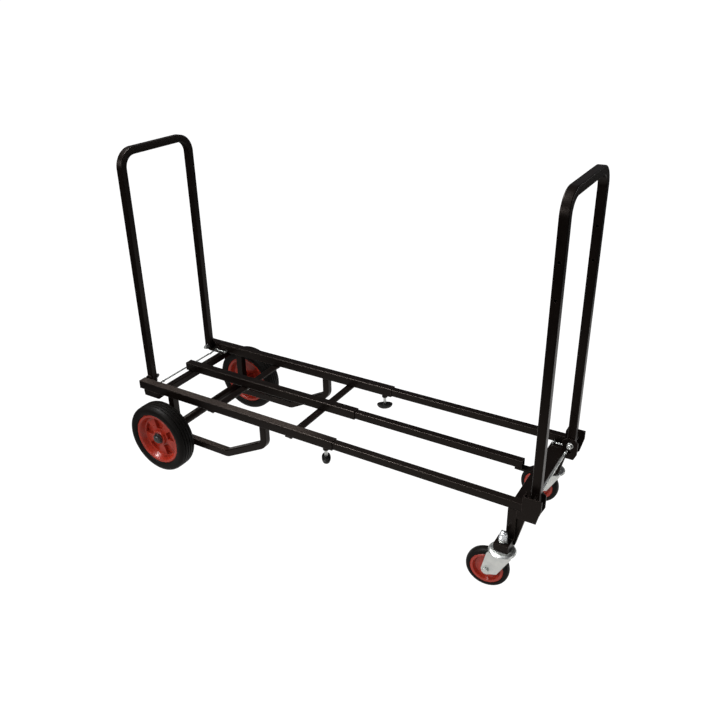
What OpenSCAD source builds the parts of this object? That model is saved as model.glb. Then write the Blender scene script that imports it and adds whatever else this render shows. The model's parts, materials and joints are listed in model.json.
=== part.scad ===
// Convertible hand truck: telescoping three-rail bed, two fold-down handles,
// two large rear wheels and two swivel casters.
// +X runs to the caster end, +Y to the far side, +Z up. The origin is on the
// floor in the middle of the bounding box. Millimetres.

/* [Rails] */
// height of the rail tops above the floor
rail_top = 233.5; // [200:0.5:300]
// distance of each side rail's centre line from the middle
rail_y = 152.6; // [120:0.1:220]
// outer sleeve, square tube
sleeve_w = 25; // [20:0.5:40]
// inner telescoping tube, square
inner_w = 20; // [14:0.5:34]
// wall of both tubes
tube_wall = 1.5; // [1:0.1:4]
// rear end of the side sleeves
rail_rear_x = -589.5; // [-700:1:-400]
// front end of the side sleeves
sleeve_front_x = 67; // [0:1:150]
// rear end of the centre sleeve
centre_rear_x = -548; // [-650:1:-400]
// front end of the centre sleeve
centre_front_x = 40; // [0:1:150]
// rear end of the inner tubes
inner_rear_x = -60; // [-100:1:-20]
// front end of the side inner tubes, at the bracket
inner_front_x = 549; // [400:1:620]
// front end of the centre inner tube
centre_inner_front_x = 495; // [400:1:620]

/* [Cross members] */
// centre of the rear cross tube
rear_cross_x = -533; // [-580:1:-480]
// centre of the rear flat cross bar
bar_rear_x = -327; // [-400:1:-250]
// centre of the front flat cross bar
bar_front_x = -66; // [-120:1:0]
// width of the flat cross bars
bar_w = 22; // [15:1:30]
// thickness of the flat cross bars
bar_t = 5; // [3:0.5:8]
// rear face of the front cross tube
front_cross_x = 518; // [500:1:540]
// width of the front cross tube along the frame
front_cross_w = 40; // [20:1:50]

/* [Rear wheels] */
// tyre radius
wheel_r = 101.6; // [80:0.1:140]
// tyre width
wheel_w = 54; // [40:1:80]
// outer face of the tyre from the middle
wheel_out_y = 230; // [200:1:280]
// where tyre and rim meet
rim_r = 75; // [60:1:90]
// axle position along the frame
axle_x = -484; // [-560:1:-420]
// axle shaft diameter
axle_d = 16; // [12:0.5:20]

/* [Casters] */
// caster wheel radius
caster_r = 50; // [40:1:65]
// caster wheel width
caster_w = 24; // [18:1:36]
// swivel stem position along the frame
stem_x = 519; // [480:1:560]
// swivel stem position from the middle
stem_y = 177; // [150:1:210]
// horizontal offset of the wheel behind its stem
trail = 30; // [15:1:45]
// resting swivel of the near caster, degrees
swing_near = 5; // [-90:1:90]
// resting swivel of the far caster, degrees
swing_far = -4; // [-90:1:90]

/* [Handles] */
// square handle tube
handle_w = 20; // [16:0.5:30]
// height of both handle pivots
pivot_z = 228; // [215:0.5:260]
// rear handle pivot
rear_pivot_x = -575; // [-590:1:-540]
// front handle pivot
front_pivot_x = 569; // [540:1:600]
// leg centre of the rear handle from the middle
rear_leg_y = 126.5; // [100:0.5:150]
// leg centre of the front handle from the middle
front_leg_y = 129; // [100:0.5:150]
// centre height of the rear handle's grip bar
rear_grip_z = 879; // [700:1:1000]
// centre height of the front handle's grip bar
front_grip_z = 898; // [700:1:1000]
// corner radius of both handles, on the tube's centre line
handle_bend = 42; // [25:1:80]
// heights of the cross holes in the front handle's legs
leg_holes = [697, 773];
// diameter of those holes
leg_hole_d = 7; // [4:0.5:10]

/* [Clamp knobs] */
// knob position along the side sleeves
knob_x = 42; // [20:1:60]
// resting turn of the near knob
near_turn = 124; // [-180:1:180]
// resting turn of the far knob
far_turn = 34; // [-180:1:180]
// length of the knob bar
knob_len = 46; // [30:1:60]
// knob stud diameter
stud_d = 8; // [6:0.5:12]

/* [Latches] */
// latch rod diameter
rod_d = 6; // [4:0.5:8]
// height of the rear latch rod
rear_rod_z = 213; // [200:0.5:225]
// height of the front latch rod
front_rod_z = 209; // [200:0.5:225]
// rear latch rod at rest
rear_rod_x = -556; // [-570:1:-540]
// front latch rod at rest
front_rod_x = 562; // [550:1:575]
// travel of a latch rod when pulled
rod_pull = 8; // [4:0.5:12]

/* [Hidden] */
$fn = 48;
zc = rail_top - sleeve_w / 2;
sleeve_z = rail_top - sleeve_w;
inner_z = zc - inner_w / 2;
rail_out_y = rail_y + sleeve_w / 2;
rail_in_y = rail_y - sleeve_w / 2;
inner_out_y = rail_y + inner_w / 2;
inner_in_y = rail_y - inner_w / 2;
wheel_mid_y = wheel_out_y - wheel_w / 2;
run = 0.05;
black = [0.08, 0.07, 0.07];
zinc = [0.75, 0.76, 0.78];
red = [0.55, 0.05, 0.06];
tyre = [0.05, 0.05, 0.05];

// ---------- helpers ----------

// both sides of the frame, the far one mirrored across the middle plane
module both() {
  children();
  mirror([0, 1, 0]) children();
}

module along_x(x, y, z, d, h) {
  translate([x, y, z]) rotate([0, 90, 0]) cylinder(d = d, h = h);
}

// cylinder whose axis runs along Y, from y0 to y1
module along_y(x, y0, y1, z, d) {
  translate([x, y0, z]) rotate([-90, 0, 0]) cylinder(d = d, h = y1 - y0);
}

// box given by its two opposite corners
module block(a, b) {
  translate(a) cube(b - a);
}

// hollow square tube along X
module tube_x(x0, x1, y, w) {
  difference() {
    block([x0, y - w / 2, zc - w / 2], [x1, y + w / 2, zc + w / 2]);
    block([x0 - 1, y - w / 2 + tube_wall, zc - w / 2 + tube_wall],
          [x1 + 1, y + w / 2 - tube_wall, zc + w / 2 - tube_wall]);
  }
}

// path with every inner corner replaced by an arc of radius r
function unit(v) = v / norm(v);
function corner(a, b, c, r, n) =
  let (u = unit(a - b), v = unit(c - b), half = acos(u * v) / 2,
       t = r / tan(half), m = unit(u + v), o = b + m * r / sin(half),
       p = b + u * t - o, s = sign(u[0] * v[1] - u[1] * v[0]))
  [for (i = [0:n]) let (k = s * (180 - 2 * half) * i / n)
    o + [p[0] * cos(k) + p[1] * sin(k), -p[0] * sin(k) + p[1] * cos(k)]];
function rounded(path, r, n) = concat([path[0]],
  [for (i = [1:len(path) - 2]) each corner(path[i - 1], path[i], path[i + 1], r, n)],
  [path[len(path) - 1]]);
function normal(p, i) =
  let (a = unit(p[min(i + 1, len(p) - 1)] - p[max(i, 0) == len(p) - 1 ? i - 1 : i]),
       b = unit(p[i == 0 ? 1 : i] - p[i == 0 ? 0 : i - 1]), m = unit(a + b))
  [-m[1], m[0]] / (m * a);
function stroke(p, w) = concat(
  [for (i = [0:len(p) - 1]) p[i] + normal(p, i) * w / 2],
  [for (i = [len(p) - 1:-1:0]) p[i] - normal(p, i) * w / 2]);

// ---------- rear frame ----------

module outer_rail(y, x0, x1, hole_x) {
  color(black) difference() {
    tube_x(x0, x1, y, sleeve_w);
    if (hole_x > x0) translate([hole_x, y, sleeve_z - 1]) cylinder(d = stud_d + 0.8, h = tube_wall + 2);
  }
}

module outer_rail_near() { outer_rail(-rail_y, rail_rear_x, sleeve_front_x, knob_x); }
module outer_rail_far() { outer_rail(rail_y, rail_rear_x, sleeve_front_x, knob_x); }
module outer_rail_centre() { outer_rail(0, centre_rear_x, centre_front_x, -9999); }

// thin plastic collar in the mouth of each sleeve
module glide_bush(x, y) {
  hole = inner_w + 0.6;
  outer = sleeve_w - 2 * tube_wall;
  difference() {
    block([x - 16, y - outer / 2, zc - outer / 2], [x, y + outer / 2, zc + outer / 2]);
    block([x - 17, y - hole / 2, zc - hole / 2], [x + 1, y + hole / 2, zc + hole / 2]);
  }
}
module glide_bushes() {
  color([0.12, 0.12, 0.13]) {
    both() glide_bush(sleeve_front_x, -rail_y);
    glide_bush(centre_front_x, 0);
  }
}

module end_cap(x, y) {
  plug = sleeve_w - 2 * tube_wall;
  union() {
    block([x - 1.5, y - sleeve_w / 2, sleeve_z], [x, y + sleeve_w / 2, rail_top]);
    block([x, y - plug / 2, zc - plug / 2], [x + 10, y + plug / 2, zc + plug / 2]);
  }
}
module rail_end_caps() {
  color(tyre) {
    both() end_cap(rail_rear_x, -rail_y);
    end_cap(centre_rear_x, 0);
  }
}

module rear_cross_tube() {
  y = rail_out_y - 4;
  w = handle_w;
  color(black) difference() {
    block([rear_cross_x - w / 2, -y, sleeve_z - w], [rear_cross_x + w / 2, y, sleeve_z]);
    block([rear_cross_x - w / 2 + 2, -y - 1, sleeve_z - w + 2], [rear_cross_x + w / 2 - 2, y + 1, sleeve_z - 2]);
  }
}

module cross_bars() {
  color(black) for (x = [bar_rear_x, bar_front_x])
    block([x - bar_w / 2, -inner_out_y, sleeve_z - bar_t], [x + bar_w / 2, inner_out_y, sleeve_z]);
}

// hex nut with the stud's end standing out of it
module nut_under(x, y, z, af, h) {
  union() {
    translate([x, y, z - h]) cylinder(d = af / cos(30), h = h, $fn = 6);
    translate([x, y, z - h - 3]) cylinder(d = af * 0.5, h = h + 3);
  }
}
module frame_nuts() {
  color(zinc) for (x = [bar_rear_x, bar_front_x]) for (y = [-rail_y, 0, rail_y])
    nut_under(x, y, sleeve_z - bar_t, 10, 5);
}

module rear_gussets() {
  color(black) both() translate([0, -rail_out_y + 4, 0]) rotate([90, 0, 0]) linear_extrude(4)
    polygon([[rail_rear_x + 14, sleeve_z], [rail_rear_x + 16, sleeve_z - 17],
             [rear_cross_x + 14, sleeve_z - 17], [rear_cross_x + 36, sleeve_z]]);
}

module wheel_posts() {
  w = inner_w;
  color(black) both() difference() {
    block([axle_x, -rail_y - w / 2, 73], [axle_x + w, -rail_y + w / 2, sleeve_z]);
    block([axle_x + tube_wall, -rail_y - w / 2 + tube_wall, 120],
          [axle_x + w - tube_wall, -rail_y + w / 2 - tube_wall, sleeve_z + 1]);
    along_y(axle_x, -rail_y - w, -rail_y + w, wheel_r, 25);
  }
}

module axle_tube() {
  color(black) difference() {
    along_y(axle_x, -rail_out_y - 2, rail_out_y + 2, wheel_r, 25);
    along_y(axle_x, -rail_out_y - 3, rail_out_y + 3, wheel_r, axle_d);
  }
}

module axle_shaft() {
  color(zinc) along_y(axle_x, -wheel_out_y + 1, wheel_out_y - 1, wheel_r, axle_d);
}

// lock nuts on the shaft ends, inside the dish of each rim
module axle_nuts() {
  base = wheel_out_y - 10.5;
  color([0.1, 0.1, 0.1]) both() difference() {
    union() {
      along_y(axle_x, -base - 2, -base, wheel_r, 30);
      translate([axle_x, -base - 2, wheel_r]) rotate([90, 0, 0]) cylinder(d = 27.5, h = 7, $fn = 6);
    }
    along_y(axle_x, -base - 12, -base + 1, wheel_r, axle_d);
  }
}

// skid and strut bent from one square tube
module brace() {
  w = inner_w;
  bore = w - 2 * tube_wall;
  path = rounded([[axle_x + w, 83], [-283, 83], [-151, 153], [-151, sleeve_z]], 26, 6);
  longer = rounded([[axle_x + w - 2, 83], [-283, 83], [-151, 153], [-151, sleeve_z + 2]], 26, 6);
  translate([0, -rail_y, 0]) rotate([90, 0, 0]) difference() {
    translate([0, 0, -w / 2]) linear_extrude(w) polygon(stroke(path, w));
    translate([0, 0, -bore / 2]) linear_extrude(bore) polygon(stroke(longer, bore));
  }
}
module brace_near() { color(black) brace(); }
module brace_far() { color(black) mirror([0, 1, 0]) brace(); }

// rounded lugs on the inner faces of the side rails, slotted for the latch rod
module rear_lug() {
  y0 = -rail_in_y;
  translate([0, y0 + 3, 0]) rotate([90, 0, 0]) linear_extrude(3) difference() {
    union() {
      translate([rear_pivot_x, pivot_z]) circle(r = 14);
      polygon([[rear_pivot_x - 14, pivot_z], [rear_pivot_x - 14, 202], [rear_rod_x + 12, 202],
               [rear_rod_x + 12, 222], [rear_pivot_x + 13, pivot_z + 4]]);
    }
    translate([rear_rod_x - rod_pull, rear_rod_z]) circle(d = rod_d + 1);
    translate([rear_rod_x, rear_rod_z]) circle(d = rod_d + 1);
    translate([rear_rod_x - rod_pull, rear_rod_z - rod_d / 2 - 0.5]) square([rod_pull, rod_d + 1]);
  }
}
module rear_lugs() { color(black) both() rear_lug(); }

module rear_pivot_bolts() {
  color(zinc) both() along_y(rear_pivot_x, -rail_in_y + 3, -rear_leg_y + handle_w / 2 + 14, pivot_z, 8);
}

// shouldered lock nut: washer face towards the leg
module pivot_nut(x, y, z) {
  difference() {
    union() {
      along_y(x, y, y + 1.5, z, 16);
      translate([x, y + 1.5, z]) rotate([-90, 0, 0]) cylinder(d = 14, h = 7, $fn = 6);
      along_y(x, y + 8.5, y + 10, z, 11);
    }
    along_y(x, y - 1, y + 12, z, 8);
  }
}
module rear_pivot_nuts() {
  color(tyre) both() pivot_nut(rear_pivot_x, -rear_leg_y + handle_w / 2 + 0.4, pivot_z);
}

// cross pins that hold the fixed end of each latch spring
module rear_spring_pins() {
  color(zinc) both() along_y(rear_rod_x + 38, -rail_in_y, -rail_in_y + 14, rear_rod_z, 4);
}

module knob_bosses() {
  color(black) both() difference() {
    translate([knob_x, -rail_y, sleeve_z - 10]) cylinder(d = 16, h = 10);
    translate([knob_x, -rail_y, sleeve_z - 11]) cylinder(d = stud_d + 0.1, h = 12);
  }
}

module knob_head(y, turn) {
  h = 15;
  top = sleeve_z - 32;
  color(tyre) difference() {
    union() {
      translate([knob_x, y, top - h]) rotate([0, 0, turn]) hull() for (s = [-1, 1])
        translate([s * (knob_len / 2 - 9), 0, 0]) {
          translate([0, 0, 4]) cylinder(d = 18, h = h - 8);
          cylinder(d = 12, h = h);
        }
      translate([knob_x, y, top - 2]) cylinder(d = 14, h = 5);
    }
    translate([knob_x, y, top - 9]) cylinder(d = stud_d, h = 20);
  }
}
module knob_stud(y) {
  color(zinc) translate([knob_x, y, sleeve_z - 41]) cylinder(d = stud_d, h = 41 + inner_z - sleeve_z - 0.5);
}
module knob_head_near() { knob_head(-rail_y, near_turn); }
module knob_head_far() { knob_head(rail_y, far_turn); }
module knob_stud_near() { knob_stud(-rail_y); }
module knob_stud_far() { knob_stud(rail_y); }

// ---------- front frame ----------

module inner_rail(y, x1) { color(black) tube_x(inner_rear_x, x1, y, inner_w); }
module inner_rail_near() { inner_rail(-rail_y, inner_front_x); }
module inner_rail_far() { inner_rail(rail_y, inner_front_x); }
module inner_rail_centre() { inner_rail(0, centre_inner_front_x); }

// flat tab that carries the centre rail's end to the cross tube
module centre_tab() {
  color(black) block([centre_inner_front_x - 17, -inner_w / 2, inner_z - 5], [front_cross_x, inner_w / 2, inner_z]);
}

// rectangular tube between the two caster posts
module front_cross_tube() {
  x1 = front_cross_x + front_cross_w;
  color(black) difference() {
    block([front_cross_x, -inner_in_y, inner_z - 20], [x1, inner_in_y, inner_z]);
    block([front_cross_x + 2, -inner_in_y - 1, inner_z - 18], [x1 - 2, inner_in_y + 1, inner_z - 2]);
  }
}

// channel that carries the handle leg: outer plate, floor and inner plate, with
// a web on the rail's end and a boxed ear beside the caster post
module front_bracket() {
  x0 = inner_front_x;
  xl = front_cross_x + front_cross_w + 0.3;
  x1 = 591;
  inner_y = -front_leg_y + handle_w / 2 + 0.5;
  difference() {
    union() {
      translate([0, -inner_out_y + 3, 0]) rotate([90, 0, 0]) linear_extrude(3)
        polygon([[x0, 251], [x0, inner_z], [xl - 2, inner_z], [xl - 2, 190], [x1 - 9, 190], [x1, 229], [x1, 251]]);
      block([x0, -inner_out_y + 1, inner_z], [x0 + 3, -inner_in_y + 1.6, 251]);
      block([stem_x + 20, -inner_out_y, inner_z - 20], [xl, -inner_in_y, inner_z]);
      block([xl, -inner_out_y + 1, 190], [x1 - 11, inner_y + 3, 193]);
      translate([0, inner_y + 3, 0]) rotate([90, 0, 0]) linear_extrude(3)
        polygon([[x0 + 2, 238], [x0 + 2, inner_z + 0.3], [xl, inner_z + 0.3], [xl, 190], [x1 - 11, 190],
                 [x1 - 4, 206], [x1 - 4, 238], [front_pivot_x + 8, 246], [front_pivot_x - 8, 246]]);
    }
    block([stem_x + 22.5, -inner_out_y + 2.5, inner_z - 17.5], [xl - 2.5, -inner_in_y + 1, inner_z - 2.5]);
    along_y(front_pivot_x, inner_y - 1, inner_y + 4, pivot_z, 8.2);
    along_y(front_rod_x, inner_y - 1, inner_y + 4, front_rod_z, rod_d + 1);
    along_y(front_rod_x + rod_pull, inner_y - 1, inner_y + 4, front_rod_z, rod_d + 1);
    block([front_rod_x, inner_y - 1, front_rod_z - rod_d / 2 - 0.5],
          [front_rod_x + rod_pull, inner_y + 4, front_rod_z + rod_d / 2 + 0.5]);
  }
}
module front_bracket_near() { color(black) front_bracket(); }
module front_bracket_far() { color(black) mirror([0, 1, 0]) front_bracket(); }

// sleeves on the pivot bolts that keep each leg against the inner plate
module front_spacers() {
  color(zinc) both() difference() {
    along_y(front_pivot_x, -inner_out_y + 3, -front_leg_y - handle_w / 2 - 0.4, pivot_z, 14);
    along_y(front_pivot_x, -inner_out_y - 1, -front_leg_y, pivot_z, 8);
  }
}
module front_pivot_bolts() {
  color(zinc) both() along_y(front_pivot_x, -inner_out_y + 3, -front_leg_y + handle_w / 2 + 13, pivot_z, 8);
}
module front_pivot_nuts() {
  color(zinc) both() pivot_nut(front_pivot_x, -front_leg_y + handle_w / 2 + 3.5, pivot_z);
}
module front_spring_pins() {
  color(zinc) both() along_y(front_rod_x - 38, -inner_in_y, -inner_in_y + 16, inner_z + 2.5, 4);
}

// round-head screw under the centre tab
module clip_bolts() {
  color(zinc) translate([centre_inner_front_x - 8, 0, inner_z - 9]) cylinder(d = 9, h = 4);
}

// post under the inner rail, on an upturned channel that the swivel stem passes through
module caster_bracket() {
  y0 = -inner_out_y;
  ya = -stem_y - 17;
  zb = 112;
  zt = 131;
  difference() {
    union() {
      block([stem_x, y0, zt - 3], [stem_x + 20, y0 + inner_w, inner_z]);
      block([stem_x - 16, ya, zb], [stem_x + 18, y0 + inner_w, zt]);
    }
    block([stem_x - 13.5, ya + 2.5, zb - 1], [stem_x + 15.5, y0 + inner_w + 1, zt - 3]);
    translate([stem_x, -stem_y, zb]) cylinder(d = 12, h = 20);
  }
}
module caster_bracket_near() { color(black) caster_bracket(); }
module caster_bracket_far() { color(black) mirror([0, 1, 0]) caster_bracket(); }

// gusset with a flange along its slanted edge, from the ear down to the channel
module caster_braces() {
  xr = stem_x + 20;
  color(black) both() translate([0, -inner_out_y, 0]) rotate([90, 0, 0]) union() {
    translate([0, 0, -14]) linear_extrude(11)
      polygon([[xr - 2, 113], [xr - 2, 120], [xr + 16, inner_z - 20], [xr + 18.8, inner_z - 20], [xr + 1, 113]]);
    translate([0, 0, -9]) linear_extrude(3)
      polygon([[xr, 132], [xr, inner_z - 20], [xr + 18, inner_z - 20], [xr, 121]]);
  }
}

// swivel stem with its fixed upper race and the spacer inside the channel
module caster_stems() {
  color(zinc) both() translate([stem_x, -stem_y, 0]) union() {
    translate([0, 0, 103]) cylinder(d = 12, h = 42);
    translate([0, 0, 109.4]) cylinder(d = 44, h = 2.6);
    translate([0, 0, 111]) cylinder(d = 26, h = 17);
  }
}
module caster_washers() {
  color(zinc) both() translate([stem_x, -stem_y, 131]) difference() {
    union() {
      cylinder(d = 21, h = 2);
      cylinder(d = 16.4, h = 7);
    }
    translate([0, 0, -1]) cylinder(d = 12, h = 9);
  }
}
// domed cap nuts on the stems
module caster_nuts() {
  color(zinc) both() translate([stem_x, -stem_y, 138]) difference() {
    union() {
      cylinder(d = 17 / cos(30), h = 6, $fn = 6);
      rotate_extrude($fn = 32) polygon([[0, 5], [8.4, 5], [8.4, 7], [7.5, 10], [5.2, 12.4], [2.3, 13.8], [0, 14]]);
    }
    translate([0, 0, -1]) cylinder(d = 12, h = 8);
  }
}

module at_caster(side, swing) {
  translate([stem_x, side * stem_y, 0]) rotate([0, 0, swing]) translate([-trail, 0, caster_r]) children();
}

// fork plates, crown and lower race: local origin at the caster wheel's centre
module fork() {
  gap = caster_w / 2 + 2.5;
  t = 2.5;
  top = 102 - caster_r;
  difference() {
    union() {
      for (s = [-1, 1]) translate([0, s * (gap + t / 2) + t / 2, 0]) rotate([90, 0, 0]) linear_extrude(t)
        polygon([[-11, 2], [-9.5, -6], [-4, -11], [3, -12], [9, -9], [25, -4], [trail + 24, top - 4],
                 [trail + 24, top + 1], [trail - 27, top + 1], [trail - 31, top - 4]]);
      block([trail - 27, -gap - t, top - 1], [trail + 24, gap + t, top + 1]);
      translate([trail, 0, 0]) rotate_extrude($fn = 72)
        polygon([[0, top + 0.5], [30, top + 0.5], [31, top + 1.5], [31, top + 3.5], [29, top + 5.6],
                 [25, top + 7], [0, top + 7]]);
    }
    translate([trail, 0, top - 3]) cylinder(d = 12.1, h = 14);
    translate([0, -gap - 5, 0]) rotate([-90, 0, 0]) cylinder(d = 8, h = 2 * gap + 10);
  }
}
module caster_fork(side, swing) { color(zinc) at_caster(side, swing) fork(); }
module caster_fork_near() { caster_fork(-1, swing_near); }
module caster_fork_far() { caster_fork(1, swing_far); }

// axle bolt through the fork, with a head and a lock nut
module caster_axle(side, swing) {
  gap = caster_w / 2 + 5;
  color(zinc) at_caster(side, swing) union() {
    translate([0, -gap, 0]) rotate([-90, 0, 0]) cylinder(d = 8, h = 2 * gap);
    translate([0, -gap, 0]) rotate([90, 0, 0]) cylinder(d = 13 / cos(30), h = 5, $fn = 6);
    translate([0, gap, 0]) rotate([-90, 0, 0]) cylinder(d = 13 / cos(30), h = 7, $fn = 6);
  }
}
module caster_axle_near() { caster_axle(-1, swing_near); }
module caster_axle_far() { caster_axle(1, swing_far); }

module caster_core(side, swing) {
  w = caster_w / 2;
  color(red) at_caster(side, swing) rotate([-90, 0, 0]) rotate_extrude($fn = 72)
    polygon([[4 + run, -w - 1.8], [10, -w - 1.8], [12, -6], [30, -6], [33, -w + 1], [37, -w + 1], [37, w - 1],
             [33, w - 1], [30, 6], [12, 6], [10, w + 1.8], [4 + run, w + 1.8]]);
}
module caster_tyre(side, swing) {
  w = caster_w / 2;
  color(tyre) at_caster(side, swing) rotate([-90, 0, 0]) rotate_extrude($fn = 72)
    polygon([[37, -w + 1], [40, -w], [46, -w], [49, -w + 3], [caster_r, -w + 8],
             [caster_r, w - 8], [49, w - 3], [46, w], [40, w], [37, w - 1]]);
}
module caster_core_near() { caster_core(-1, swing_near); }
module caster_core_far() { caster_core(1, swing_far); }
module caster_tyre_near() { caster_tyre(-1, swing_near); }
module caster_tyre_far() { caster_tyre(1, swing_far); }

// ---------- rear wheels ----------

// local axis along Z with the outer face towards +Z
module rim() {
  w = wheel_w / 2 - 4;
  difference() {
    rotate_extrude($fn = 96)
      polygon([[axle_d / 2 + run, -w - 12], [17, -w - 12], [22, -4], [58, -2], [66, -w], [rim_r, -w],
               [rim_r, w], [68, w], [58, 6], [24, 8], [21, w - 7], [axle_d / 2 + run, w - 7]]);
    for (i = [0:4]) rotate([0, 0, i * 72]) translate([0, 0, 3]) rotate_extrude(angle = 44, $fn = 96)
      translate([29, 0]) square([24, 20]);
  }
}
module tread() {
  w = wheel_w / 2;
  r = wheel_r;
  rotate_extrude($fn = 96)
    polygon([[rim_r, -w + 4], [rim_r + 4, -w + 1], [r - 14, -w], [r - 6, -w + 1.5], [r - 1.5, -w + 7],
             [r - 0.5, -w + 12], [r - 5, -w + 13], [r - 5, -w + 16], [r, -w + 17],
             [r, -1.5 - 4], [r - 5, -1.5], [r - 5, 1.5], [r, 1.5 + 4],
             [r, w - 17], [r - 5, w - 16], [r - 5, w - 13], [r - 0.5, w - 12],
             [r - 1.5, w - 7], [r - 6, w - 1.5], [r - 14, w], [rim_r + 4, w - 1], [rim_r, w - 4]]);
}
module near_wheel() { translate([axle_x, -wheel_mid_y, wheel_r]) rotate([90, 0, 0]) children(); }
module rim_near() { color(red) near_wheel() rim(); }
module tyre_near() { color(tyre) near_wheel() tread(); }
module rim_far() { color(red) mirror([0, 1, 0]) near_wheel() rim(); }
module tyre_far() { color(tyre) mirror([0, 1, 0]) near_wheel() tread(); }

// ---------- handles ----------

// one square tube bent into a U, its leg ends cut square just below the pivot
module handle(px, ly, grip, holes) {
  w = handle_w;
  bore = w - 2 * tube_wall;
  low = pivot_z - w / 2;
  path = rounded([[-ly, low], [-ly, grip], [ly, grip], [ly, low]], handle_bend, 8);
  longer = rounded([[-ly, low - 2], [-ly, grip], [ly, grip], [ly, low - 2]], handle_bend, 8);
  difference() {
    translate([px, 0, 0]) rotate([90, 0, 90]) difference() {
      translate([0, 0, -w / 2]) linear_extrude(w) polygon(stroke(path, w));
      translate([0, 0, -bore / 2]) linear_extrude(bore) polygon(stroke(longer, bore));
    }
    for (s = [-1, 1]) along_y(px, s * ly - w, s * ly + w, pivot_z, 8 + 2 * run);
    for (z = holes) for (s = [-1, 1]) along_y(px, s * ly - w, s * ly + w, z, leg_hole_d);
  }
}
module rear_handle() { color(black) handle(rear_pivot_x, rear_leg_y, rear_grip_z, []); }
module front_handle() { color(black) handle(front_pivot_x, front_leg_y, front_grip_z, leg_holes); }

// ---------- latches ----------

module latch_rod(x, z, ly, reach, ball) {
  color(zinc) union() {
    along_y(x, -reach, reach, z, rod_d);
    for (s = [-1, 1]) translate([x, s * (ly - handle_w / 2 - 12), z]) sphere(d = ball, $fn = 24);
  }
}
module rear_latch_rod() { latch_rod(rear_rod_x, rear_rod_z, rear_leg_y, rail_in_y - 0.5, 10); }
module front_latch_rod() { latch_rod(front_rod_x, front_rod_z, front_leg_y, front_leg_y + 8, 7.4); }

// close-wound extension spring between x0 and x1, its straight hook running on to xh
module spring(x0, x1, xh, y, z) {
  n = 8;
  pitch = (x1 - x0 - 8) / n;
  translate([x0 + 4, y, z]) rotate([0, 90, 0]) union() {
    for (i = [0:n]) translate([0, 0, i * pitch]) rotate_extrude($fn = 16)
      translate([2.1, 0]) circle(d = 1.4, $fn = 6);
    translate([2.1, 0, 0]) cylinder(d = 1.2, h = xh - x0 - 4, $fn = 6);
  }
}
module rear_latch_springs() {
  x0 = rear_rod_x + rod_d / 2 + 0.6;
  color(zinc) both() spring(x0, rear_rod_x + 35.6, rear_rod_x + 31.6, -rail_in_y + 7, rear_rod_z);
}
module front_latch_springs() {
  x0 = front_rod_x - 35.6;
  color(zinc) both() spring(x0, front_rod_x - 11, front_rod_x - 2, -front_leg_y - 3, inner_z + 3.6);
}

outer_rail_near();
outer_rail_far();
outer_rail_centre();
glide_bushes();
rail_end_caps();
rear_cross_tube();
cross_bars();
frame_nuts();
rear_gussets();
wheel_posts();
axle_tube();
axle_shaft();
axle_nuts();
brace_near();
brace_far();
rear_lugs();
rear_pivot_bolts();
rear_pivot_nuts();
rear_spring_pins();
knob_bosses();
knob_head_near();
knob_stud_near();
knob_head_far();
knob_stud_far();
inner_rail_near();
inner_rail_far();
inner_rail_centre();
centre_tab();
front_cross_tube();
front_bracket_near();
front_bracket_far();
front_spacers();
front_pivot_bolts();
front_pivot_nuts();
front_spring_pins();
clip_bolts();
caster_bracket_near();
caster_bracket_far();
caster_braces();
caster_stems();
caster_washers();
caster_nuts();
caster_fork_near();
caster_axle_near();
caster_core_near();
caster_tyre_near();
caster_fork_far();
caster_axle_far();
caster_core_far();
caster_tyre_far();
rim_near();
tyre_near();
rim_far();
tyre_far();
rear_handle();
front_handle();
rear_latch_rod();
rear_latch_springs();
front_latch_rod();
front_latch_springs();
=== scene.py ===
import json
import math

import bmesh
import bpy
from mathutils import Matrix, Vector


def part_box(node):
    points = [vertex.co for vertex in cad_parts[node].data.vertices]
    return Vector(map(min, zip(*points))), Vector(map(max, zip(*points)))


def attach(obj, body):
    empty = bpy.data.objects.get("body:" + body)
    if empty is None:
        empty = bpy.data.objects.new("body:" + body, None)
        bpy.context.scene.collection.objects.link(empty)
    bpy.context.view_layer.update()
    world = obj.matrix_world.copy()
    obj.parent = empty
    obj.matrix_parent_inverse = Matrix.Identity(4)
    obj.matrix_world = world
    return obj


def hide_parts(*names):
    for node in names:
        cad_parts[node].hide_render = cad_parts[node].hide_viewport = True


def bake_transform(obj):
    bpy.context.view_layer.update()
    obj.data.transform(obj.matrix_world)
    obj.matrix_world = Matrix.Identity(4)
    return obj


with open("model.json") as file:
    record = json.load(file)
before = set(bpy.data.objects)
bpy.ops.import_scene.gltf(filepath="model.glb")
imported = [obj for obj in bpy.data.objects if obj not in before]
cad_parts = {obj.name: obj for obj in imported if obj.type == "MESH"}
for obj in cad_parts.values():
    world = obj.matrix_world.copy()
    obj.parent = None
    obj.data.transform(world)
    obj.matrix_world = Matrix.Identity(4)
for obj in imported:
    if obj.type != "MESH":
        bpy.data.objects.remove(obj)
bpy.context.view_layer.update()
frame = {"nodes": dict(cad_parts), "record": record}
NODES = frame["nodes"]

# ------------------------------------------------------------------ camera
cam_data = bpy.data.cameras.new("camera")
cam_data.sensor_width = 36.0
cam_data.lens = 37.987
cam_data.shift_x = 0.0455
cam_data.shift_y = -0.0290
cam = bpy.data.objects.new("camera", cam_data)
bpy.context.scene.collection.objects.link(cam)
CAM_POS = Vector((0.9400, -1.4802, 1.2576))
forward = Vector((-0.50061506, 0.75364185, -0.42592079)).normalized()
up = Vector((-0.20471475, 0.37499195, 0.90414208))
right = forward.cross(up).normalized()
up = right.cross(forward).normalized()
turned = Matrix((right, up, -forward)).transposed()
cam.matrix_world = Matrix.Translation(CAM_POS) @ turned.to_4x4()
cam_data.clip_end = 60
bpy.context.scene.camera = cam


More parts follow.
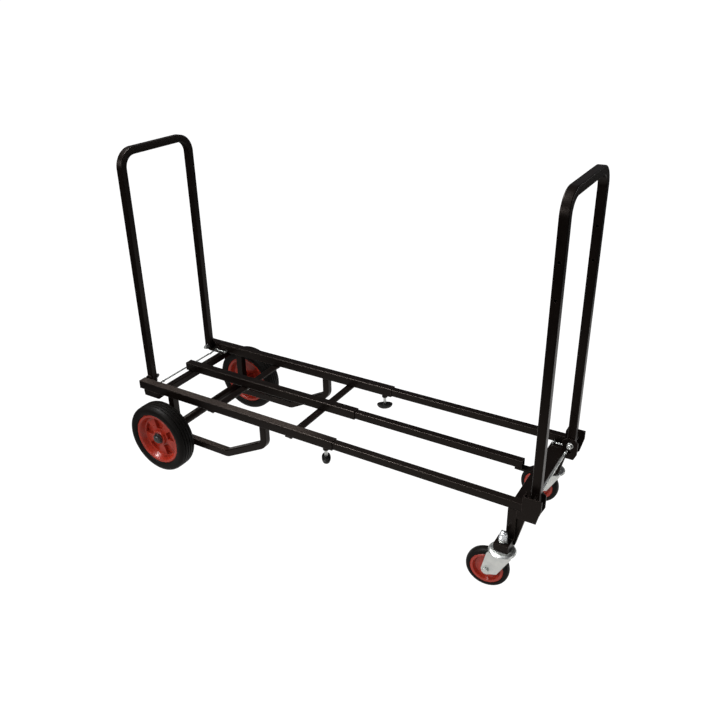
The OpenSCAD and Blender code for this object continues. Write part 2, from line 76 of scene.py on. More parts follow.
# ------------------------------------------------------------------ materials
def node_tree(name):
    material = bpy.data.materials.new(name)
    material.use_nodes = True
    tree = material.node_tree
    return material, tree, tree.nodes["Principled BSDF"]


def ramp(tree, source, stops):
    node = tree.nodes.new("ShaderNodeValToRGB")
    while len(node.color_ramp.elements) < len(stops):
        node.color_ramp.elements.new(0.5)
    for element, (position, colour) in zip(node.color_ramp.elements, stops):
        element.position = position
        element.color = (*colour, 1)
    tree.links.new(source, node.inputs[0])
    return node.outputs[0]


def noise(tree, scale, detail=4, rough=0.55):
    coords = tree.nodes.new("ShaderNodeTexCoord")
    node = tree.nodes.new("ShaderNodeTexNoise")
    node.inputs["Scale"].default_value = scale
    node.inputs["Detail"].default_value = detail
    node.inputs["Roughness"].default_value = rough
    tree.links.new(coords.outputs["Object"], node.inputs["Vector"])
    return node.outputs["Fac"]


def bump(tree, height, strength, distance):
    node = tree.nodes.new("ShaderNodeBump")
    node.inputs["Strength"].default_value = strength
    node.inputs["Distance"].default_value = distance
    tree.links.new(height, node.inputs["Height"])
    return node.outputs["Normal"]


def remap(tree, source, a, b, lo, hi):
    """Value from a to b turned into lo to hi, held at both ends."""
    node = tree.nodes.new("ShaderNodeMapRange")
    tree.links.new(source, node.inputs["Value"])
    for socket, value in zip(("From Min", "From Max", "To Min", "To Max"), (a, b, lo, hi)):
        node.inputs[socket].default_value = value
    return node.outputs["Result"]


def times(tree, first, second):
    node = tree.nodes.new("ShaderNodeMath")
    node.operation = "MULTIPLY"
    tree.links.new(first, node.inputs[0])
    tree.links.new(second, node.inputs[1])
    return node.outputs[0]


def mix(tree, factor, base, colour):
    """Base colour going over to one fixed colour as the factor goes from 0 to 1."""
    node = tree.nodes.new("ShaderNodeMix")
    node.data_type = "RGBA"
    tree.links.new(factor, node.inputs[0])
    tree.links.new(base, node.inputs[6])
    node.inputs[7].default_value = (*colour, 1)
    return node.outputs[2]


def edges(tree, radius):
    """1 along sharp edges, 0 elsewhere."""
    geometry = tree.nodes.new("ShaderNodeNewGeometry")
    bevel = tree.nodes.new("ShaderNodeBevel")
    bevel.samples = 4
    bevel.inputs["Radius"].default_value = radius
    dot = tree.nodes.new("ShaderNodeVectorMath")
    dot.operation = "DOT_PRODUCT"
    tree.links.new(bevel.outputs["Normal"], dot.inputs[0])
    tree.links.new(geometry.outputs["Normal"], dot.inputs[1])
    return remap(tree, dot.outputs["Value"], 0.985, 0.90, 0.0, 1.0)


def near_top_speckle(tree, base, colour):
    """Lighter fine speckle on the upward faces of the near sleeve; places are in metres."""
    geometry = tree.nodes.new("ShaderNodeNewGeometry")
    coords = tree.nodes.new("ShaderNodeTexCoord")
    up_sep = tree.nodes.new("ShaderNodeSeparateXYZ")
    at_sep = tree.nodes.new("ShaderNodeSeparateXYZ")
    tree.links.new(geometry.outputs["Normal"], up_sep.inputs[0])
    tree.links.new(coords.outputs["Object"], at_sep.inputs[0])
    up_facing = remap(tree, up_sep.outputs["Z"], 0.80, 0.98, 0.0, 1.0)
    near_side = remap(tree, at_sep.outputs["Y"], -0.130, -0.139, 0.0, 1.0)
    sleeve = remap(tree, at_sep.outputs["X"], 0.060, -0.060, 0.10, 1.0)
    grain = remap(tree, noise(tree, 420, 3, 0.8), 0.42, 0.68, 0.10, 1.0)
    mask = times(tree, times(tree, up_facing, near_side), times(tree, sleeve, grain))
    return mix(tree, mask, base, colour)


WEAR_AND_HIGHLIGHT_RADIUS = 0.0011


def painted(name, dark, light, rough, spec, grain, wear_and_highlight_amount, wear_and_highlight_colour, near_top_speckle_colour=None):
    """Coated or moulded surface: cloudy colour, fine grain, and a lighter colour along its sharp edges that
    is partly rubbed edge and partly painted highlight.
    """
    material, tree, shader = node_tree(name)
    cloud = noise(tree, 22, 4)
    fine = noise(tree, grain, 3, 0.6)
    patch = noise(tree, 55, 5, 0.7)
    base = ramp(tree, cloud, [(0.3, dark), (0.7, light)])
    # Lighter speckle on the upward faces of the near sleeve only.
    if near_top_speckle_colour:
        base = near_top_speckle(tree, base, near_top_speckle_colour)
        shader.inputs["Specular Tint"].default_value = (1.0, 0.84, 0.75, 1)
    # Lighter colour along sharp edges: partly rubbed edges and partly a painted highlight line; on the powder
    # coat it is all painted highlight.
    edge_wear_and_highlight = times(tree, edges(tree, WEAR_AND_HIGHLIGHT_RADIUS), remap(tree, patch, 0.35, 0.62, 0.15, wear_and_highlight_amount))
    tree.links.new(mix(tree, edge_wear_and_highlight, base, wear_and_highlight_colour), shader.inputs["Base Color"])
    tree.links.new(remap(tree, patch, 0.3, 0.7, *rough), shader.inputs["Roughness"])
    shader.inputs["Specular IOR Level"].default_value = spec
    tree.links.new(bump(tree, fine, 0.35, 0.0002), shader.inputs["Normal"])
    return material


def metal(name, rough, dark, light):
    """Bare plated metal with a cloudy tone."""
    material, tree, shader = node_tree(name)
    cloud = noise(tree, 70, 4)
    fine = noise(tree, 1500, 2)
    tree.links.new(ramp(tree, cloud, [(0.25, dark), (0.75, light)]), shader.inputs["Base Color"])
    tree.links.new(remap(tree, cloud, 0.25, 0.75, *rough), shader.inputs["Roughness"])
    shader.inputs["Metallic"].default_value = 1.0
    tree.links.new(bump(tree, fine, 0.02, 0.00003), shader.inputs["Normal"])
    return material


MATS = {
    # The powder coat's edge colour (0.060, 0.046, 0.042) is a painted highlight line along its edges.
    "black_powder_coat": painted("black_powder_coat", (0.0018, 0.0011, 0.0009), (0.0030, 0.0019, 0.0015),
                                 (0.27, 0.37), 0.13, 850, 0.9, (0.060, 0.046, 0.042),
                                 (0.055, 0.044, 0.038)),
    "black_hardware": painted("black_hardware", (0.006, 0.006, 0.006), (0.010, 0.010, 0.010),
                              (0.22, 0.34), 0.5, 700, 0.6, (0.10, 0.10, 0.10)),
    "zinc_steel": metal("zinc_steel", (0.34, 0.46), (0.44, 0.46, 0.45), (0.62, 0.63, 0.61)),
    "bright_nut": metal("bright_nut", (0.30, 0.40), (0.62, 0.65, 0.68), (0.78, 0.80, 0.82)),
    "red_plastic": painted("red_plastic", (0.23, 0.016, 0.007), (0.31, 0.022, 0.010),
                           (0.24, 0.34), 0.35, 500, 0.25, (0.55, 0.10, 0.07)),
    "black_plastic": painted("black_plastic", (0.006, 0.006, 0.006), (0.012, 0.011, 0.010),
                             (0.36, 0.50), 0.2, 1100, 0.3, (0.05, 0.05, 0.05)),
    "tyre_rubber": painted("tyre_rubber", (0.0022, 0.0018, 0.0015), (0.0042, 0.0035, 0.0030),
                           (0.42, 0.54), 0.08, 1000, 0.3, (0.02, 0.018, 0.016)),
}
SLOT = {s["node"]: s["material_slot"] for s in frame["record"]["subparts"]}
BODY = {n: b for b, ns in frame["record"]["behaviour"]["bodies"].items() for n in ns}


# ------------------------------------------------------------------ mesh helpers (millimetres in, metres out)
MM = 0.001
METRE = 1000  # millimetres
WALL, CORNER = 1.5, 2.6
INNER_CORNER, CROSS_WALL = 2.2, 2.0
TYRE_RADIUS = 101.6
WHEEL_X, WHEEL_Z = -484, TYRE_RADIUS
STEM_X, STEM_Y = 519, 177


def add_object(name, data):
    obj = bpy.data.objects.new(name, data)
    bpy.context.scene.collection.objects.link(obj)
    return obj


def on_circle(count):
    """Cosine and sine of evenly spaced angles."""
    angles = [2 * math.pi * i / count for i in range(count)]
    return [(math.cos(a), math.sin(a)) for a in angles]


def finish_piece(name, bm, nodes, smooth=40, ride=True):
    """Object from a bmesh, standing for CAD nodes and riding on their body."""
    bmesh.ops.recalc_face_normals(bm, faces=bm.faces)
    mesh = bpy.data.meshes.new(name)
    bm.to_mesh(mesh)
    bm.free()
    for polygon in mesh.polygons:
        polygon.use_smooth = True
    mesh.set_sharp_from_angle(angle=math.radians(smooth))
    piece = add_object(name, mesh)
    slot = SLOT[nodes[0]]
    mesh.materials.append(MATS[slot])
    if ride:
        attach(piece, BODY[nodes[0]])
    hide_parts(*nodes)
    normals = piece.modifiers.new("weighted", "WEIGHTED_NORMAL")
    normals.keep_sharp = True
    return piece


def stitch(bm, rings, closed_u=True, closed_v=False):
    """Quads between consecutive rings; closed_u closes each ring, closed_v joins last to first."""
    count = len(rings)
    for i in range(count if closed_v else count - 1):
        ring, following = rings[i], rings[(i + 1) % count]
        for j in range(len(ring) if closed_u else len(ring) - 1):
            k = (j + 1) % len(ring)
            bm.faces.new((ring[j], ring[k], following[k], following[j]))


def close_ends(bm, rings):
    bm.faces.new(rings[0])
    bm.faces.new(rings[-1])


def rounded_rect(w, h, r, k=4):
    """Outline of a rectangle, k steps to each rounded corner."""
    pts = []
    for cx, cy, a0 in ((1, 1, 0), (-1, 1, 90), (-1, -1, 180), (1, -1, 270)):
        for i in range(k + 1):
            a = math.radians(a0 + 90 * i / k)
            pts.append((cx * (w / 2 - r) + r * math.cos(a), cy * (h / 2 - r) + r * math.sin(a)))
    return pts


def tube(name, node, path, normal, w, h, wall=WALL, r=CORNER, holes=()):
    """Hollow w by h tube with rounded corners, mitred along a flat path square to normal."""
    bm = bmesh.new()
    across = Vector(normal)
    pts = [Vector(p) for p in path]
    outer = rounded_rect(w, h, r)
    inner = rounded_rect(w - 2 * wall, h - 2 * wall, max(r - wall, 0.6))
    rows_out, rows_in = [], []
    for i, p in enumerate(pts):
        tan_in = (pts[i] - pts[i - 1]).normalized() if i else (pts[1] - pts[0]).normalized()
        tan_out = (pts[i + 1] - pts[i]).normalized() if i < len(pts) - 1 else tan_in
        side_in, side_out = across.cross(tan_in), across.cross(tan_out)
        mitre = (side_in + side_out).normalized()
        mitre = mitre / mitre.dot(side_in)
        rows_out.append([bm.verts.new((p + across * u + mitre * v) * MM) for u, v in outer])
        rows_in.append([bm.verts.new((p + across * u + mitre * v) * MM) for u, v in inner])
    stitch(bm, rows_out)
    stitch(bm, rows_in)
    stitch(bm, [rows_out[0], rows_in[0]])
    stitch(bm, [rows_out[-1], rows_in[-1]])
    if holes:
        bmesh.ops.recalc_face_normals(bm, faces=bm.faces)
        bore_holes(bm, holes)
    return finish_piece(name, bm, [node])


CUTTER_LENGTH = 30


def bore_holes(bm, holes):
    """Cross holes along Y, cut with an exact boolean: holes are (x, y, z, diameter)."""
    mesh = bpy.data.meshes.new("bore_tmp")
    bm.to_mesh(mesh)
    body = add_object("bore_tmp", mesh)
    cut = bmesh.new()
    for x, y, z, d in holes:
        place = Matrix.Translation(Vector((x, y, z)) * MM) @ Matrix.Rotation(math.pi / 2, 4, "X")
        bmesh.ops.create_cone(cut, cap_ends=True, segments=32, radius1=d / 2 * MM, radius2=d / 2 * MM,
                              depth=CUTTER_LENGTH * MM, matrix=place)
    cut_mesh = bpy.data.meshes.new("cut_tmp")
    cut.to_mesh(cut_mesh)
    cut.free()
    cutter = add_object("cut_tmp", cut_mesh)
    subtract = body.modifiers.new("cut", "BOOLEAN")
    subtract.operation = "DIFFERENCE"
    subtract.solver = "EXACT"
    subtract.object = cutter
    depsgraph = bpy.context.evaluated_depsgraph_get()
    result = bpy.data.meshes.new_from_object(body.evaluated_get(depsgraph))
    bm.clear()
    bm.from_mesh(result)
    for obj, old in ((body, mesh), (cutter, cut_mesh)):
        bpy.data.objects.remove(obj)
        bpy.data.meshes.remove(old)
    bpy.data.meshes.remove(result)


def corner(a, b, c, r, n):
    """Arc of n + 1 points in place of corner b."""
    u, v = (a - b).normalized(), (c - b).normalized()
    half = u.angle(v) / 2
    o = b + (u + v).normalized() * r / math.sin(half)
    p, q = b + u * r / math.tan(half) - o, b + v * r / math.tan(half) - o
    axis = p.cross(q).normalized()
    full = p.angle(q)
    return [o + Matrix.Rotation(full * i / n, 3, axis) @ p for i in range(n + 1)]


def rounded_path(pts, r, steps):
    """Path whose inner corners are arcs of radius r."""
    pts = [Vector(p) for p in pts]
    out = [pts[0]]
    for i in range(1, len(pts) - 1):
        out += corner(pts[i - 1], pts[i], pts[i + 1], r, steps)
    return out + [pts[-1]]


def box_mm(node):
    """Lowest and highest corner of a node at rest."""
    lo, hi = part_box(node)
    return Vector(lo) * METRE, Vector(hi) * METRE


def straight(node, along, wall=WALL, r=CORNER):
    """Straight tube in the place of a CAD box tube running along X or Y."""
    lo, hi = box_mm(node)
    mid = (lo + hi) / 2
    if along == "x":
        path, size = [(lo.x, mid.y, mid.z), (hi.x, mid.y, mid.z)], (hi.y - lo.y, hi.z - lo.z)
        nrm = (0, 1, 0)
    else:
        path, size = [(mid.x, lo.y, mid.z), (mid.x, hi.y, mid.z)], (hi.x - lo.x, hi.z - lo.z)
        nrm = (1, 0, 0)
    return tube("tube_" + node, node, path, nrm, size[0], size[1], wall, r)


def lathe(name, node, profile, centre, axis, segs=96):
    """Solid of revolution: profile is a closed loop of (radius, distance along axis)."""
    bm = bmesh.new()
    ax = Vector(axis).normalized()
    e1 = ax.cross(Vector((0, 0, 1))).normalized()
    e2 = ax.cross(e1)
    c = Vector(centre)
    rings = []
    for r, a in profile:
        rings.append([bm.verts.new((c + ax * a + (e1 * u + e2 * v) * r) * MM) for u, v in on_circle(segs)])
    stitch(bm, rings, True, True)
    return finish_piece(name, bm, [node], smooth=35)


def lerp_table(table, x):
    """Height at x on the straight lines between a profile's points."""
    for (x0, y0), (x1, y1) in zip(table, table[1:]):
        if x <= x1:
            return y0 + (y1 - y0) * max(0.0, min(1.0, (x - x0) / (x1 - x0)))
    return table[-1][1]


def step(lo, hi, x):
    """Smooth rise from 0 at lo to 1 at hi."""
    t = max(0.0, min(1.0, (x - lo) / (hi - lo)))
    return t * t * (3 - 2 * t)


# ------------------------------------------------------------------ frame tubes
for side in ("near", "far", "centre"):
    straight("outer_rail_" + side, "x")
    straight("inner_rail_" + side, "x", WALL, INNER_CORNER)
straight("rear_cross_tube", "y", CROSS_WALL, INNER_CORNER)
straight("front_cross_tube", "y", CROSS_WALL, INNER_CORNER)


HANDLE_BEND, HANDLE_HOLE = 42, 7.0
BRACE_Y, BRACE_SIZE, BRACE_BEND = 152.6, 20, 26
BRACE_TURN_X, BRACE_TURN_Z = -283, 153


def handle(node, holes):
    """U-shaped handle: two legs and a top bar, cross-drilled at the given heights."""
    lo, hi = box_mm(node)
    w = hi.x - lo.x
    x, leg, top = (lo.x + hi.x) / 2, hi.y - w / 2, hi.z - w / 2
    path = rounded_path([(x, -leg, lo.z), (x, -leg, top), (x, leg, top), (x, leg, lo.z)], HANDLE_BEND,
                        steps=14)
    bores = [(x, s * leg, z, HANDLE_HOLE) for z in holes for s in (-1, 1)]
    tube("tube_" + node, node, path, (1, 0, 0), w, w, holes=bores)


def brace(side, y):
    """Skid tube: level from the wheel, bent up and forward, then upright to its rail."""
    node = "brace_" + side
    lo, hi = box_mm(node)
    low, front = lo.z + BRACE_SIZE / 2, hi.x - BRACE_SIZE / 2
    path = rounded_path([(lo.x, y, low), (BRACE_TURN_X, y, low), (front, y, BRACE_TURN_Z), (front, y, hi.z)],
                        BRACE_BEND, steps=10)
    tube("tube_" + node, node, path, (0, 1, 0), BRACE_SIZE, BRACE_SIZE)


handle("rear_handle", [])
handle("front_handle", [697, 773])
brace("near", -BRACE_Y)
brace("far", BRACE_Y)

# ------------------------------------------------------------------ rear wheels
TREAD = [(75, -22.4), (76.2, -24.4), (78.5, -25.7), (83, -26.8), (88, -27), (92.5, -26.4), (96, -25.0),
         (98.6, -22.8), (100.1, -20.0), (100.7, -17.0)]
SHOULDER = len(TREAD)
GROOVES, GROOVE_DEPTH = (-14.0, -4.7, 4.7, 14.0), 2.9
for g in GROOVES:
    crown = TYRE_RADIUS - 0.7 * (abs(g) / 17) ** 2
    TREAD += [(crown, g - 1.9), (crown - 0.5, g - 1.2), (crown - GROOVE_DEPTH, g - 0.8),
              (crown - GROOVE_DEPTH, g + 0.8), (crown - 0.5, g + 1.2), (crown, g + 1.9)]
TREAD += [(r, -a) for r, a in reversed(TREAD[:SHOULDER])]

FACE = [(8.05, 12.6), (16.2, 12.8), (17.2, 15.8), (20.0, 16.0), (21.2, 15.2), (23.4, 8.8), (26, 8.0),
        (57, 6.4), (60, 7.6), (66.6, 21.0), (68.4, 22.6), (70, 23.0), (73.6, 23.0), (75, 22.2)]
BACK = [(8.05, 35), (15.6, 35), (17, 34), (22.5, 6), (26, 5), (57, 3.6), (60, 4.6), (66.4, 20.6),
        (68, 22.4), (69.6, 23.0), (74, 23.0), (75, 22.4)]
RADII = [8.05, 12, 16.2, 17.2, 18.6, 20, 20.6, 21.2, 22.2, 23.4, 24.6, 26, 26.8, 27.6, 28.6, 32, 37, 42, 47,
         52, 54.6, 55.4, 56.2, 57, 58.4, 60, 62, 64, 65.6, 66.6, 67.6, 68.4, 70, 71.8, 73.6, 74.4, 75]
HALF_SECTOR = [6, 12, 17, 17.7, 18.4, 19.1, 19.8, 20.5, 24, 28, 32]
POCKETS, POCKET_DEPTH = 5, 9.4
POCKET_INNER, POCKET_OUTER, POCKET_SIDE = (26.6, 28.2), (55.2, 56.8), (17.7, 19.8)
SECTOR_ANGLE = 360 // POCKETS
HALF_ANGLE = SECTOR_ANGLE // 2
SECTOR = [-HALF_ANGLE] + [-a for a in reversed(HALF_SECTOR)] + [0] + HALF_SECTOR


def pocket(r, angle):
    """1 on a pocket's floor, 0 outside it, with sloping walls between."""
    off_middle = abs((angle + HALF_ANGLE) % SECTOR_ANGLE - HALF_ANGLE)
    return step(*POCKET_INNER, r) * (1 - step(*POCKET_OUTER, r)) * (1 - step(*POCKET_SIDE, off_middle))


def rim(name, node, centre, out):
    """Dished wheel centre with five pockets in its outward face; out is that side along Y."""
    bm = bmesh.new()
    angles = [SECTOR_ANGLE * k + a for k in range(POCKETS) for a in SECTOR]
    rows = []
    for table, sign, depth in ((FACE, 1, POCKET_DEPTH), (BACK, -1, 0.0)):
        radii = RADII if sign > 0 else list(reversed(RADII))
        for r in radii:
            row = []
            for a in angles:
                z = lerp_table(table, r) - depth * pocket(r, a)
                t = math.radians(a + 90)
                row.append(bm.verts.new(Vector((centre[0] + r * math.cos(t), centre[1] + out * sign * z,
                                                centre[2] + r * math.sin(t))) * MM))
            rows.append(row)
    stitch(bm, rows, True, True)
    bmesh.ops.remove_doubles(bm, verts=bm.verts, dist=1e-6)
    finish_piece(name, bm, [node], smooth=28)


for side, out in (("near", -1), ("far", 1)):
    lo, hi = box_mm("tyre_" + side)
    mid = (lo + hi) / 2
    centre = (mid.x, mid.y, WHEEL_Z)
    lathe("wheel_tyre_" + side, "tyre_" + side, TREAD, centre, (0, out, 0), 128)
    rim("wheel_rim_" + side, "rim_" + side, centre, out)


# ------------------------------------------------------------------ nuts
def hexed_radius(r, angle, grow, flat_radius):
    """Radius at an angle of a round section cut by six flats."""
    flat = (angle + math.pi / 6) % (math.pi / 3) - math.pi / 6
    return min(r * grow, flat_radius / math.cos(flat))


def nut_pair(name, node, profile, sides, place, band, grow, flat_radius, smooth):
    """Two mirrored nuts: profile of (radius, height), hexagonal where band says so."""
    bm = bmesh.new()
    for s in (-1, 1):
        rings = []
        for r, h in profile:
            ring = []
            for i in range(sides):
                t = 2 * math.pi * i / sides
                rr = hexed_radius(r, t, grow, flat_radius) if band(r, h) else r
                ring.append(bm.verts.new(Vector(place(s, rr * math.cos(t), rr * math.sin(t), h)) * MM))
            rings.append(ring)
        stitch(bm, rings, True, True)
    finish_piece(name, bm, [node], smooth=smooth)


# cap nuts over the ends of the axle
CAP = [(8.2, 219.6), (14.6, 219.6), (15, 220.0), (15, 221.1), (14.6, 221.5), (13.4, 221.6), (13.4, 225.6),
       (12.7, 226.4), (10.6, 226.9), (9.6, 227.0), (9.2, 228.2), (8.0, 229.2), (5.0, 229.7), (0.4, 229.8),
       (0.4, 229.3), (8.2, 229.1)]
nut_pair("axle_caps", "axle_nuts", CAP, 60, lambda s, u, v, h: (WHEEL_X + u, s * h, WHEEL_Z + v),
         lambda r, h: 221.6 <= h <= 225.6 and r > 13, 1.08, 12.9, 30)

# ------------------------------------------------------------------ caster wheels
CORE = [(4.05, 13.7), (9.2, 13.7), (9.9, 13.2), (11.0, 6.0), (13.0, 3.6), (24.0, 2.2), (27.6, 2.8),
        (30.2, 6.0), (31.2, 9.4), (32.2, 10.9), (33.6, 11.3), (37.2, 11.3), (38.4, 10.4)]
CORE = CORE + [(r, -a) for r, a in reversed(CORE)]
SKIN = [(38.4, 10.4), (38.8, 11.5), (40.2, 11.9), (43.5, 11.8), (46.4, 10.6), (48.4, 8.4), (49.5, 5.2),
        (49.95, 2), (50, 0)]
SKIN = SKIN + [(r, -a) for r, a in reversed(SKIN[:-1])]
for joint in frame["record"]["behaviour"]["joints"]:
    if joint["name"] in ("caster_near_roll", "caster_far_roll"):
        side = joint["name"].split("_")[1]
        centre = [METRE * v for v in joint["pos_m"]]
        lathe("caster_hub_" + side, "caster_core_" + side, CORE, centre, joint["axis"], 72)
        lathe("caster_skin_" + side, "caster_tyre_" + side, SKIN, centre, joint["axis"], 96)

# domed cap nuts on the swivel stems
DOME = [(6.2, 138.1), (9.4, 138.1), (9.9, 138.5), (9.9, 139.2), (9.4, 139.6), (9.3, 139.9), (9.3, 144.9),
        (8.8, 145.6), (8.1, 146.0), (8.1, 147.0), (8.6, 147.4), (8.7, 149.0), (8.3, 151.2), (7.2, 153.6),
        (5.4, 155.4), (3.0, 156.5), (0.4, 156.9), (0.4, 155.0), (5.0, 153.0), (6.2, 148.0)]
nut_pair("dome_nuts", "caster_nuts", DOME, 48, lambda s, u, v, h: (STEM_X + u, s * STEM_Y + v, h),
         lambda r, h: 139.8 < h < 145.0, 1.06, 8.75, 32)


# ------------------------------------------------------------------ clamp knobs
def knob(side, turn, length=44, width=23, depth=15.5):
    """Bar head tapering downward on a raised collar; turn is its angle about Z in degrees."""
    node = "knob_head_" + side
    lo, hi = box_mm(node)
    c = (lo + hi) / 2
    top = lo.z + depth
    bm = bmesh.new()
    rings = []
    layers = [(0.0, 0.90), (0.03, 0.965), (0.10, 1.0)] + [(t / 12, 1.0) for t in range(3, 13)]
    for t, k in layers:
        s = k * math.sqrt(1 - (t * 0.985) ** 2.3)
        ring = []
        for i in range(40):
            a = 2 * math.pi * i / 40
            ca, sa = math.cos(a), math.sin(a)
            x = math.copysign(abs(ca) ** 0.8, ca) * length / 2 * s
            y = math.copysign(abs(sa) ** 0.9, sa) * width / 2 * (0.35 + 0.65 * s)
            y *= s ** 0.35
            q = Matrix.Rotation(math.radians(turn), 3, "Z") @ Vector((x, y, 0))
            ring.append(bm.verts.new(Vector((c.x + q.x, c.y + q.y, top - t * depth)) * MM))
        rings.append(ring)
    stitch(bm, rings)
    close_ends(bm, rings)
    collar = []
    for r, z in ((4.05, top - 4), (7.4, top - 0.6), (7.0, top + 1.6), (6.2, top + 2.6), (4.05, top + 3)):
        collar.append([bm.verts.new(Vector((c.x + r * u, c.y + r * v, z)) * MM) for u, v in on_circle(32)])
    stitch(bm, collar, True, True)
    finish_piece("knob_grip_" + side, bm, [node], smooth=50)


knob("near", 124)
knob("far", 34)


# ------------------------------------------------------------------ latch springs
TURNS, COIL_RADIUS, WIRE_RADIUS = 15, 2.1, 0.62
PER_TURN, HOOK_STEPS = 14, 8
HOOK_LENGTH, PIN_HOOK, ROD_GAP = 5.5, 2.9, 0.9


def coil(name, node, x_pin, x_rod, y, z, rod_r, z_rod):
    """Two wound extension springs, hooked over the fixed pin and over the latch rod."""
    bm = bmesh.new()
    d = 1 if x_rod > x_pin else -1
    a0, a1 = x_pin + d * HOOK_LENGTH, x_rod - d * (rod_r + HOOK_LENGTH)
    reach = rod_r + ROD_GAP
    for s in (-1, 1):
        pts = []
        for i in range(HOOK_STEPS + 1):
            t = math.pi * (0.15 + 0.85 * i / HOOK_STEPS)
            pts.append(Vector((x_pin - d * PIN_HOOK * math.sin(t), s * y, z - PIN_HOOK * math.cos(t))))
        for i in range(TURNS * PER_TURN + 1):
            t = 2 * math.pi * i / PER_TURN
            pts.append(Vector((a0 + (a1 - a0) * i / (TURNS * PER_TURN), s * y + COIL_RADIUS * math.sin(t),
                               z + COIL_RADIUS * math.cos(t))))
        for i in range(HOOK_STEPS + 1):
            t = math.pi * (1 - i / HOOK_STEPS)
            pts.append(Vector((x_rod + d * reach * math.sin(t), s * y, z_rod - reach * math.cos(t))))
        rings = []
        for i, p in enumerate(pts):
            tan = (pts[min(i + 1, len(pts) - 1)] - pts[max(i - 1, 0)]).normalized()
            e1 = tan.cross(Vector((0.1, 1, 0.05))).normalized()
            e2 = tan.cross(e1)
            spokes = [e1 * math.cos(k * math.pi / 3) + e2 * math.sin(k * math.pi / 3) for k in range(6)]
            rings.append([bm.verts.new((p + spoke * WIRE_RADIUS) * MM) for spoke in spokes])
        stitch(bm, rings)
        close_ends(bm, rings)
    o = finish_piece(name, bm, [node], smooth=60, ride=False)
    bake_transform(o)


coil("spring_pair_rear", "rear_latch_springs", -518, -556, 133.1, 213, 3, 213)
coil("spring_pair_front", "front_latch_springs", 524, 562, 132.0, 214.4, 3, 209)

# ------------------------------------------------------------------ latch rods
ROD_RADIUS, BALL_STEPS = 2.4, 14


def rod(name, node, ball, ball_y):
    """Thin rod across the frame, with rounded ends and a stop ball on each side."""
    lo, hi = box_mm(node)
    x, z = (lo.x + hi.x) / 2, (lo.z + hi.z) / 2
    prof = [(0.0, lo.y), (1.6, lo.y + 0.2), (ROD_RADIUS, lo.y + 1.2)]
    for s in (-1, 1):
        for i in range(BALL_STEPS + 1):
            t = -math.pi / 2 + math.pi * i / BALL_STEPS
            prof.append((max(ROD_RADIUS, ball / 2 * math.cos(t)), s * ball_y + ball / 2 * math.sin(t)))
    prof += [(ROD_RADIUS, hi.y - 1.2), (1.6, hi.y - 0.2), (0.0, hi.y)]
    bm = bmesh.new()
    rings = [[bm.verts.new(Vector((x + r * u, y, z + r * v)) * MM) for u, v in on_circle(20)]
             for r, y in prof]
    stitch(bm, rings)
    bmesh.ops.remove_doubles(bm, verts=bm.verts, dist=1e-7)
    finish_piece(name, bm, [node], smooth=50)


rod("rod_rear", "rear_latch_rod", 9.0, 104.5)
rod("rod_front", "front_latch_rod", 7.0, 107.0)

# ------------------------------------------------------------------ CAD nodes shown with their own mesh
BEVEL_MM = {"frame_nuts": 0.4, "wheel_posts": 0.7, "cross_bars": 0.9, "rail_end_caps": 0.6,
            "caster_bracket_near": 0.9, "caster_bracket_far": 0.9, "front_bracket_near": 0.7,
            "front_bracket_far": 0.7, "caster_fork_near": 0.6, "caster_fork_far": 0.6}
USUAL_BEVEL_MM = 0.5
WELD_DISTANCE = 0.00001
for name, obj in NODES.items():
    obj.data.materials.clear()
    obj.data.materials.append(MATS[SLOT[name]])
    if obj.hide_render:
        continue
    weld = obj.modifiers.new("weld", "WELD")
    weld.merge_threshold = WELD_DISTANCE
    bevel = obj.modifiers.new("edge", "BEVEL")
    bevel.width = BEVEL_MM.get(name, USUAL_BEVEL_MM) * MM
    bevel.segments = 2
    bevel.limit_method = "ANGLE"
    bevel.angle_limit = math.radians(35)
    bevel.harden_normals = True


# ------------------------------------------------------------------ studio
def glowing(name, strength):
    """Material that only gives off light."""
    material, tree, shader = node_tree(name)
    shader.inputs["Base Color"].default_value = (0.02, 0.02, 0.02, 1)
    shader.inputs["Roughness"].default_value = 1.0
    shader.inputs["Specular IOR Level"].default_value = 0.0
    shader.inputs["Emission Strength"].default_value = strength
    return material, tree, shader


def backdrop():
    """Closed white cove around the object: seen by the camera, unseen by reflections and bounce light."""
    bm = bmesh.new()
    profile = [(0.02, 0.0), (16.0, 0.0), (19.0, 0.8), (20.6, 3.0), (21.0, 6.0), (21.0, 24.0), (14.0, 30.0),
               (0.02, 31.0)]
    rings = [[bm.verts.new((r * u, r * v, z)) for u, v in on_circle(48)] for r, z in profile]
    stitch(bm, rings)
    bm.faces.new(rings[0])
    mesh = bpy.data.meshes.new("cove")
    bm.to_mesh(mesh)
    bm.free()
    o = add_object("cove", mesh)
    material, _, shader = glowing("cove", 1.05)
    shader.inputs["Emission Color"].default_value = (1, 1, 1, 1)
    mesh.materials.append(material)
    o.visible_glossy = False
    o.visible_diffuse = False
    o.visible_shadow = False


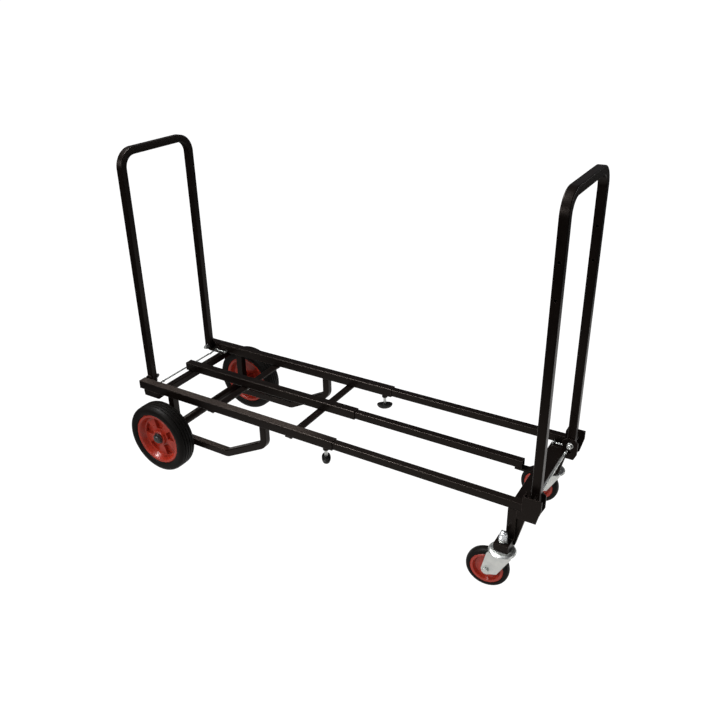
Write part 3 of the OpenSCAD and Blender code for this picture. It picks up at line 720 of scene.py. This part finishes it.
def floor_glow(centre, radius):
    """Pool of light on the floor: reflections and bounce light see it, the camera sees the cove."""
    bm = bmesh.new()
    bmesh.ops.create_circle(bm, cap_ends=True, segments=64, radius=radius)
    mesh = bpy.data.meshes.new("glow")
    bm.to_mesh(mesh)
    bm.free()
    o = add_object("glow", mesh)
    o.location = (*centre, 0.0003)
    material, tree, shader = glowing("glow", 1.0)
    coords = tree.nodes.new("ShaderNodeTexCoord")
    length = tree.nodes.new("ShaderNodeVectorMath")
    length.operation = "LENGTH"
    tree.links.new(coords.outputs["Object"], length.inputs[0])
    fade = ramp(tree, remap(tree, length.outputs["Value"], 0.0, radius, 0.0, 1.0),
                [(0.0, (0.95, 0.93, 0.91)), (0.45, (0.90, 0.88, 0.86)), (0.68, (0.55, 0.53, 0.51)),
                 (0.85, (0.10, 0.10, 0.10)), (1.0, (0.03, 0.03, 0.03))])
    tree.links.new(fade, shader.inputs["Emission Color"])
    mesh.materials.append(material)
    o.visible_camera = False
    o.visible_shadow = False


def area(name, direction, dist, target, size, power):
    """Rectangular lamp that faces its target from a direction."""
    lamp = bpy.data.lights.new(name, "AREA")
    lamp.shape = "RECTANGLE"
    lamp.size, lamp.size_y = size
    lamp.energy = power
    o = add_object(name, lamp)
    o.location = Vector(target) + Vector(direction).normalized() * dist
    o.rotation_euler = (Vector(target) - o.location).to_track_quat("-Z", "Y").to_euler()


def sky():
    """Dim world, graded by height, for the reflections in the dark paint."""
    world = bpy.data.worlds.new("world")
    world.use_nodes = True
    tree = world.node_tree
    background = tree.nodes["Background"]
    coords = tree.nodes.new("ShaderNodeTexCoord")
    split = tree.nodes.new("ShaderNodeSeparateXYZ")
    tree.links.new(coords.outputs["Generated"], split.inputs[0])
    grade = ramp(tree, remap(tree, split.outputs["Z"], -1.0, 1.0, 0.0, 1.0),
                 [(0.0, (0.10, 0.095, 0.09)), (0.5, (0.035, 0.033, 0.032)), (0.62, (0.13, 0.13, 0.135)),
                  (0.80, (0.05, 0.05, 0.055)), (1.0, (0.11, 0.11, 0.12))])
    tree.links.new(grade, background.inputs["Color"])
    background.inputs["Strength"].default_value = 1.0
    bpy.context.scene.world = world


backdrop()
floor_glow((0.40, 0.30), 1.75)
area("key", (-0.46, -0.78, 0.42), 4.2, (0, 0, 0.3), (2.6, 0.8), 105)
area("overhead", (-0.40, -0.05, 0.90), 4.2, (0, 0, 0.3), (2.6, 0.35), 330)
area("front", (0.55, -0.95, 0.30), 4.4, (0, 0, 0.3), (1.0, 1.6), 30)
area("side", (0.95, 0.10, 0.55), 4.2, (0.1, 0, 0.4), (1.0, 1.0), 20)
area("back", (0.75, 0.80, 0.15), 4.4, (0, 0, 0.4), (1.4, 0.8), 14)
sky()
bpy.context.scene.view_settings.view_transform = "Standard"
